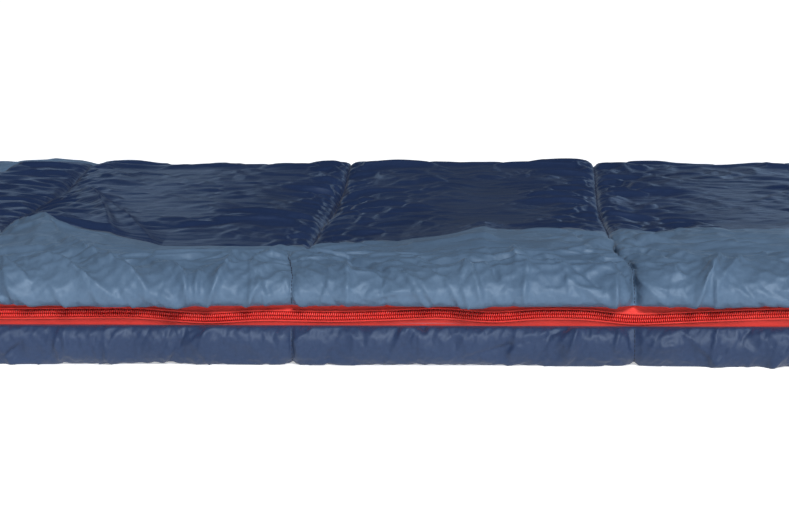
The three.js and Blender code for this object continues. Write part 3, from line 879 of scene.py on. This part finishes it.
def zip_place(s):
    """The zip line at distance s past x = 0: its places, directions and outward directions in plan."""
    turn = clamp((s - SIDE_RUN) / ZIP_R, 0, math.pi / 2)
    past = clamp(s - SIDE_RUN - ARC, 0, 1e9)
    x = np.minimum(s, SIDE_RUN) + ZIP_R * np.sin(turn)
    y = ZIP_Y + ZIP_R * (1 - np.cos(turn)) + past
    none = np.zeros_like(s)
    along = np.stack([np.cos(turn), np.sin(turn), none], -1)
    out = np.stack([np.sin(turn), -np.cos(turn), none], -1)
    return np.stack([x, y, none], -1), along, out


# The chain's wander up and down where it shows most: (x, height).
CHAIN_BENDS = [(-300, 0.5), (-250, 1), (-220, 1.5), (-170, -2.5), (-135, 0), (-85, -1), (-40, 0.5), (-15, 2),
               (20, -1.5), (50, 1.5), (85, 1), (110, -2.5), (150, -0.5), (210, 2)]


def chain_wave():
    """The chain's smooth height along the whole zip, every millimetre. It is 0 where a slider can park."""
    start, end = ZIP_RUN[1]
    run = np.arange(start - 30, ZIP_RUN[-1][1] + 30)
    parks = [start + 10, SIDE_RUN - 20, end, foot_run(ZIP_Y + ZIP_R + 20)]
    rng = np.random.RandomState(8)
    knots = np.arange(run[0], run[-1], 42.0)
    heights = rng.uniform(-1.6, 1.6, len(knots))
    hidden = (knots < CHAIN_BENDS[0][0] - 30) | (knots > CHAIN_BENDS[-1][0] + 30)
    at = np.r_[knots[hidden], [x for x, _ in CHAIN_BENDS]]
    height = np.r_[heights[hidden], [h for _, h in CHAIN_BENDS]]
    order = np.argsort(at)
    wave = np.interp(run, at[order], height[order])
    reach = bell(np.arange(-30, 31) / 13.0)
    wave = np.convolve(wave, reach / reach.sum(), mode="same")
    return run, wave * np.prod([smooth((abs(run - park) - 35) / 60) for park in parks], axis=0)


CHAIN = chain_wave()


def zip_wave(s):
    return np.interp(s, *CHAIN)


# The tape's outline, as it leaves the chain: (height above the chain's middle, distance out).
TAPE_RIDGE = [(0.35, -0.55), (2.5, -0.5), (2.75, 0.35), (3.3, 0.75), (3.85, 0.55), (4.2, -0.3)]
TAPE_BACK = [(4.2, -0.9), (0.35, -0.9)]


def zip_tape(up):
    """The woven tape: from behind the coil, over its corded ridge, to under the quilt's hem."""
    start, end = ZIP_RUN[up]
    s = np.linspace(start, end, int((end - start) / 2) + 1)
    place, _, out = zip_place(s)
    middle, edge = ZIP_Z + zip_wave(s), HEM_Z[up] + up * 2.0
    front = [(middle + up * height, by) for height, by in TAPE_RIDGE]
    back = [(middle + up * height, by) for height, by in TAPE_BACK]
    halfway_front, halfway_back = ((middle + up * height + edge) / 2 for height in (4.6, 4.2))
    hem = [(halfway_front, -0.55), (edge, -0.75), (edge, -1.15), (halfway_back, -1.0)]
    outline = (front + hem + back)[::up]
    rings = np.stack([place + by * out for _, by in outline], 1)
    rings[:, :, 2] = np.stack(np.broadcast_arrays(*[height for height, _ in outline]), 1)
    n, k = rings.shape[:2]
    # The distance from the chain's middle goes into the cut, and the tape's material uses it to paint shade
    # behind the coil.
    from_middle = abs(rings[:, :, 2] - middle[:, None])
    cut = np.stack([np.repeat(s, k), from_middle.ravel(), np.zeros(n * k)], -1)
    tape = new_object(f"{SIDE[up]}_zip_tape", rings.reshape(-1, 3), tube_faces(n, k, turned=True), BODY[up],
                      "zip_tape", {"cut": cut})
    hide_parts(f"zip_tape_{HALF[up]}")


def coil_tooth():
    """One turn of the coil: a thread that rises from the chain's middle and slants back to the tape."""
    path = np.array([(-0.25, 0.15, 0.5), (-0.1, 0.55, 1.35), (0.15, 1.25, 1.75), (0.4, 1.95, 1.3),
                     (0.5, 2.45, 0.1)])
    axes = frames_along(path, [1.0, 0, 0])
    return thread(path, axes[:, 1], axes[:, 2], (0.4, 0.5, 0.5, 0.5, 0.4))


COIL_PITCH = 1.4


def zip_coil(up):
    """A row of turns, half a turn on from the other row, so that the two mesh."""
    start, end = ZIP_RUN[up]
    s = np.arange(start + 1, end - 1, COIL_PITCH) + (COIL_PITCH / 2 if up > 0 else 0)
    place, along, out = zip_place(s)
    place[:, 2] = ZIP_Z + zip_wave(s)
    along = along + np.outer(np.gradient(zip_wave(s), s), [0, 0, 1.0])
    upward = np.tile([0, 0, float(up)], (len(s), 1))
    points, faces = copies(coil_tooth(), place, np.stack([along, upward, out], 1))
    faces = [f[:, ::up] for f in faces]
    coil = new_object(f"{SIDE[up]}_zip_coil", points, faces, BODY[up], "zip_coil")
    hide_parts(f"zip_coil_{HALF[up]}")


# ---------------------------------------------------------------- bindings and fold cord
def soft_strip(name, node, line, size, body, slot, seed):
    """A folded tape along a line in Y or X, a little uneven, in the place of a plain node. size is its half
    width and half height."""
    n, sides = len(line), 14
    turn = np.arange(sides) * 2 * math.pi / sides
    nearly_square = [np.sign(t) * abs(t) ** 0.7 for t in (np.cos(turn), np.sin(turn))]
    across, height = size[0] * nearly_square[0], size[1] * nearly_square[1]
    sway, swell = (blurred(np.random.RandomState(seed + k).uniform(-1, 1, (n, 1)), 5) for k in (0, 1))
    tangent = np.gradient(line, axis=0)
    tangent /= np.linalg.norm(tangent, axis=1)[:, None]
    side = np.cross(tangent, [0, 0, 1.0])
    rings = (line + 0.5 * sway * side)[:, None, :] + across[None, :, None] * side[:, None, :]
    rings[:, :, 2] += height * (1 + 0.12 * swell)
    # Sizes on the cut cloth: 3 mm between rings, and 1 mm between their points.
    cut = np.stack([np.repeat(np.arange(n) * 3.0, sides), np.tile(np.arange(sides) * 1.0, n),
                    np.zeros(n * sides)], -1)
    faces = tube_faces(n, sides, turned=True)
    strip = new_object(name, rings.reshape(-1, 3), faces, body, slot, {"cut": cut})
    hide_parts(node)


def head_binding(up):
    node = f"{SIDE[up]}_head_binding"
    low, high = node_box(node)
    (x, _, z), (half_width, _, half_height) = (low + high) / 2, (high - low) / 2
    y = np.linspace(low[1], high[1], 260)
    line = np.stack([np.full_like(y, x), y, np.full_like(y, z)], -1)
    slot = "shell_navy" if up > 0 else "shell_bottom"
    soft_strip(f"{node}_tape", node, line, (half_width, half_height), BODY[up], slot, 50 + up)


def fold_cord():
    low, high = node_box("fold_seam")
    x = np.linspace(low[0], high[0], 500)
    line = np.stack([x, np.full_like(x, Y1 + 0.4), np.full_like(x, FOLD_Z)], -1)
    soft_strip("fold_seam_cord", "fold_seam", line, (0.8, 0.8), BODY[-1], "thread", 60)


top, top_at = top_quilt()
bottom, bottom_at = bottom_quilt()
top_panels(top, top_at)
whole_sheet(bottom, bottom_at, -1, "bottom_shell", "shell_bottom", turned=True)
for up, quilt, cloth in ((1, top, top_at), (-1, bottom, bottom_at)):
    inner, inner_cloth = lining(up)
    batting(up, quilt, cloth)
    seam_stitches(up, quilt, cloth, inner, inner_cloth)
    zip_tape(up)
    zip_coil(up)
    head_binding(up)
fold_cord()


# ---------------------------------------------------------------- materials
def shade(red, green, blue):
    """A colour given as it looks on screen, 0 to 255, as Blender's linear values."""
    values = [v / 255 for v in (red, green, blue)]
    return (*(v / 12.92 if v <= 0.04045 else ((v + 0.055) / 1.055) ** 2.4 for v in values), 1)


class Material:
    """A Principled material with short calls for the nodes that every finish here uses."""

    def __init__(self, name, **inputs):
        self.material = bpy.data.materials.new(name)
        self.material.use_nodes = True
        self.nodes, self.links = self.material.node_tree.nodes, self.material.node_tree.links
        self.surface = self.nodes["Principled BSDF"]
        for key, value in inputs.items():
            self.surface.inputs[key.replace("_", " ")].default_value = value

    def feed(self, socket, value):
        """Gives a socket another node's output, or a plain value."""
        if hasattr(value, "is_linked"):
            self.links.new(value, socket)
        else:
            socket.default_value = value

    def node(self, kind, **inputs):
        made = self.nodes.new(kind)
        for key, value in inputs.items():
            self.feed(made.inputs[key], value)
        return made

    def math(self, operation, *values, kind="ShaderNodeMath"):
        made = self.nodes.new(kind)
        made.operation = operation
        for socket, value in zip(made.inputs, values):
            self.feed(socket, value)
        return made.outputs[0]

    def place(self, scale, cut=True, turn=0.0):
        """Where a point is, in metres times scale: in the object, or on the cloth as it was cut, where it
        can first be turned by an angle."""
        if cut:
            source = self.nodes.new("ShaderNodeAttribute")
            source.attribute_name = "cut"
            at = source.outputs["Vector"]
        else:
            at = self.nodes.new("ShaderNodeTexCoord").outputs["Object"]
        if turn:
            turned = self.node("ShaderNodeVectorRotate", Vector=at, Angle=turn)
            turned.rotation_type = "Z_AXIS"
            at = turned.outputs["Vector"]
        return self.node("ShaderNodeMapping", Vector=at, Scale=scale).outputs["Vector"]

    def noise(self, scale, detail=3.0, roughness=0.5, cut=True):
        made = self.node("ShaderNodeTexNoise", Vector=self.place(scale, cut), Scale=1.0, Detail=detail,
                         Roughness=roughness)
        return made.outputs["Fac"]

    def waves(self, scale, direction, cut=True):
        made = self.node("ShaderNodeTexWave", Vector=self.place(scale, cut), Scale=1.0, Distortion=0.0)
        made.bands_direction = direction
        return made.outputs["Fac"]

    def facets(self, scale, turn):
        """Crumpled cloth: flat facets with sharp folds between them, turned by an angle on the cut cloth."""
        at = self.place(scale, turn=turn)
        warp = self.node("ShaderNodeTexNoise", Vector=at, Scale=0.8, Detail=2.0).outputs["Color"]
        bent = self.math("MULTIPLY_ADD", warp, (1.0, 1.0, 0.0), at, kind="ShaderNodeVectorMath")
        cells = self.node("ShaderNodeTexVoronoi", Vector=bent, Scale=1.0)
        cells.voronoi_dimensions = "2D"
        cells.feature = "DISTANCE_TO_EDGE"
        return cells.outputs["Distance"]

    def spread(self, value, low, high, from_low=0.25, from_high=0.75):
        """A value carried over from one range to another. Noise is mostly within 0.25 to 0.75."""
        made = self.node("ShaderNodeMapRange", Value=value)
        for index, number in enumerate((from_low, from_high, low, high)):
            made.inputs[index + 1].default_value = number
        return made.outputs["Result"]

    def colour(self, value, low, high):
        """Blends from one colour to another by a value."""
        made = self.nodes.new("ShaderNodeMix")
        made.data_type = "RGBA"
        self.links.new(value, made.inputs["Factor"])
        made.inputs["A"].default_value, made.inputs["B"].default_value = low, high
        self.links.new(made.outputs["Result"], self.surface.inputs["Base Color"])

    def rough(self, value):
        self.links.new(value, self.surface.inputs["Roughness"])

    def bump(self, *layers):
        """Layers are (height value, depth in mm), finest first."""
        normal = None
        for height, depth in layers[::-1]:
            made = self.node("ShaderNodeBump", Height=height, Distance=depth * MM)
            if normal:
                self.links.new(normal, made.inputs["Normal"])
            normal = made.outputs["Normal"]
        self.links.new(normal, self.surface.inputs["Normal"])


def taffeta(name, dark, light, roughness=0.4, crinkle=1.0):
    """Thin, slightly glossy woven nylon or polyester: fine weave, sharp creases that run up the bag's side
    and along its top, uneven gloss."""
    m = Material(name, Specular_IOR_Level=0.4, Sheen_Weight=0.05, Sheen_Roughness=0.4)
    m.surface.inputs["Specular Tint"].default_value = (0.7, 0.84, 1.0, 1)
    threads = 2200.0 / math.pi  # the scale of the waves: a thread about every 0.45 mm
    weave = m.math("ADD", m.waves((threads, 1, 1), "X"), m.waves((1, threads, 1), "Y"))
    place = m.node("ShaderNodeSeparateXYZ", Vector=m.place((1, 1, 1)))
    on_top = m.spread(place.outputs["Y"], 0, 1, (Y0 + 20) * MM, (Y0 + 60) * MM)
    side = m.math("MULTIPLY_ADD", m.facets((80, 36, 36), -0.4), 0.5, m.facets((34, 14, 14), 0.5))
    top = m.math("MULTIPLY_ADD", m.facets((24, 95, 95), -0.1), 0.5, m.facets((9, 36, 36), 0.12))
    side_only = m.math("MULTIPLY", side, m.math("SUBTRACT", 1.0, on_top))
    creases = m.math("MULTIPLY_ADD", top, on_top, side_only)
    soft = m.noise((28, 45, 28), detail=3)
    specks = m.math("MULTIPLY", m.noise((400, 400, 400), detail=2), 0.4)
    patches = m.math("MULTIPLY_ADD", m.noise((9, 9, 9), detail=2), 0.6, specks)
    m.colour(m.spread(patches, 0, 1, 0.35, 0.65), dark, light)
    m.rough(m.spread(soft, roughness - 0.05, roughness + 0.06))
    m.bump((weave, 0.015), (creases, crinkle * 1.6), (soft, crinkle * 0.6))
    return m.material


def woven_tape(name, dark, light):
    """Twill tape. Its cut place's second value is the distance from the chain's middle.
    Within about 2.4 mm of that middle the tape is painted dark, as painted shade behind the coil.
    """
    m = Material(name, Specular_IOR_Level=0.3, Sheen_Weight=0.25, Sheen_Roughness=0.5)
    twill = m.math("ADD", m.waves((900, 900, 1), "DIAGONAL"), m.waves((1, 1300, 1), "Y"))
    place = m.node("ShaderNodeSeparateXYZ", Vector=m.place((1, 1, 1)))
    # This mask is 0 behind the coil, where the dark colour is painted shade, and 1 from 2.9 mm out from the
    # chain's middle.
    clear_of_painted_coil_shade = m.spread(place.outputs["Y"], 0, 1, 2.4 * MM, 2.9 * MM)
    tone = m.math("MULTIPLY_ADD", twill, 0.15, m.math("MULTIPLY", m.noise((60, 60, 60)), 0.6))
    m.colour(m.math("MULTIPLY", m.spread(tone, 0.75, 1, 0.3, 0.6), clear_of_painted_coil_shade), dark, light)
    m.rough(m.spread(m.noise((300, 300, 300)), 0.5, 0.65))
    m.bump((twill, 0.05), (m.noise((120, 200, 100)), 0.12))
    return m.material


def plastic_coil(name, dark, light):
    m = Material(name, Specular_IOR_Level=0.5, Coat_Weight=0.15, Coat_Roughness=0.2)
    m.colour(m.spread(m.noise((40, 40, 40), cut=False), 0, 1), dark, light)
    m.rough(m.spread(m.noise((900, 900, 900), cut=False), 0.26, 0.4))
    m.bump((m.noise((1500, 1500, 1500), cut=False), 0.02))
    return m.material


def spun_thread(name, dark, light):
    m = Material(name, Specular_IOR_Level=0.3, Sheen_Weight=0.05)
    twist = m.waves((1500, 900, 1500), "DIAGONAL", cut=False)
    m.colour(m.spread(twist, 0, 1), dark, light)
    m.rough(m.spread(m.noise((500, 500, 500), cut=False), 0.5, 0.7))
    m.bump((twist, 0.06))
    return m.material


def cast_metal(name):
    m = Material(name, Metallic=1.0)
    patches = m.noise((120, 120, 120), detail=5, cut=False)
    m.colour(m.spread(patches, 0, 1), shade(120, 122, 128), shade(168, 170, 175))
    m.rough(m.spread(m.noise((40, 900, 900), detail=4, cut=False), 0.24, 0.42))
    scratches, pits = m.noise((60, 1400, 1400), detail=3, cut=False), m.noise((500, 500, 500), cut=False)
    m.bump((scratches, 0.02), (pits, 0.03))
    return m.material


def hollow_fibre(name):
    m = Material(name, Sheen_Weight=0.6, Specular_IOR_Level=0.1, Subsurface_Weight=0.15)
    tufts = m.noise((160, 160, 160), detail=8, roughness=0.7, cut=False)
    m.colour(m.spread(tufts, 0, 1), shade(214, 214, 210), shade(238, 238, 235))
    m.rough(m.spread(tufts, 0.85, 1.0))
    m.bump((tufts, 1.2), (m.noise((30, 30, 30), cut=False), 2.5))
    return m.material


def set_material(obj, material):
    obj.data.materials.clear()
    obj.data.materials.append(material)


def finish_materials():
    finishes = {
        "shell_navy": taffeta("navy_taffeta", shade(24, 38, 68), shade(31, 46, 78), 0.44, 1.0),
        "shell_slate": taffeta("slate_taffeta", shade(74, 96, 121), shade(83, 105, 129), 0.50, 1.0),
        "shell_bottom": taffeta("lower_navy_taffeta", shade(34, 48, 77), shade(42, 57, 87), 0.52, 1.2),
        "lining": taffeta("grey_lining", shade(112, 121, 131), shade(124, 133, 143), 0.55, 0.8),
        "filling": hollow_fibre("hollow_fibre"),
        "thread": spun_thread("dark_thread", shade(20, 28, 46), shade(40, 52, 76)),
        # The tape's dark red is painted shade behind the coil, and it tints the twill a little further out.
        # The light red is the tape's own colour.
        "zip_tape": woven_tape("red_tape", shade(110, 12, 12), shade(240, 60, 50)),
        "zip_coil": plastic_coil("red_coil", shade(226, 40, 34), shade(240, 58, 50)),
        "zip_metal": cast_metal("slider_metal"),
    }
    for obj in bpy.context.scene.objects:
        if obj.get("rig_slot") in finishes:
            set_material(obj, finishes[obj["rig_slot"]])
    metal_parts = ["side_slider", "side_pull", "foot_slider", "foot_pull"]
    metal_parts += [f"zip_stop_{end}_{half}" for end in ("head", "foot") for half in HALF.values()]
    for name in metal_parts:
        node = frame["nodes"][name]
        set_material(node, finishes["zip_metal"])
        rounding = node.modifiers.new("rounded edges", "BEVEL")
        rounding.width, rounding.segments = 0.22 * MM, 2
        rounding.limit_method = "ANGLE"


# ---------------------------------------------------------------- floor and light
def add_light(name, kind, place, aim, **settings):
    light = bpy.data.lights.new(name, kind)
    for key, value in settings.items():
        setattr(light, key, value)
    lamp = linked(name, light)
    lamp.location = place
    lamp.rotation_euler = Vector(aim).to_track_quat("-Z", "Y").to_euler()


def studio():
    """A plain pale floor, a sun and a broad soft light from the front, and weaker blue ones from behind."""
    far = 20.0
    corners = [(-far, -far, 0), (far, -far, 0), (far, far, 0), (-far, far, 0)]
    mesh = bpy.data.meshes.new("floor")
    mesh.from_pydata(corners, [], [(0, 1, 2, 3)])
    linked("floor", mesh)
    pale = Material("pale_floor", Base_Color=(0.9, 0.9, 0.9, 1), Roughness=0.9, Emission_Color=(1, 1, 1, 1),
                    Emission_Strength=0.5)
    mesh.materials.append(pale.material)

    world = bpy.data.worlds.new("studio")
    world.use_nodes = True
    background = world.node_tree.nodes["Background"]
    background.inputs["Color"].default_value = (0.4, 0.65, 1, 1)
    background.inputs["Strength"].default_value = 0.06
    bpy.context.scene.world = world

    add_light("soft_front", "SUN", (0, 0, 0), (-0.3, 1.0, -0.85), energy=3.4, angle=math.radians(17))
    white, blue = (1, 1, 1), (0.5, 0.72, 1.0)
    panels = {
        "front_panel": ((0.7, -2.6, 1.2), (3.0, 1.2), 7.5, white),
        "back_right": ((1.0, 2.4, 0.9), (1.2, 0.6), 4.5, blue),
        "back_left": ((-0.85, 2.4, 0.9), (0.7, 0.5), 2.2, blue),
    }
    for name, (place, (wide, high), power, colour) in panels.items():
        add_light(name, "AREA", place, -Vector(place), shape="RECTANGLE", size=wide, size_y=high,
                  energy=power, color=colour)
    bpy.context.scene.view_settings.view_transform = "Standard"


finish_materials()
studio()
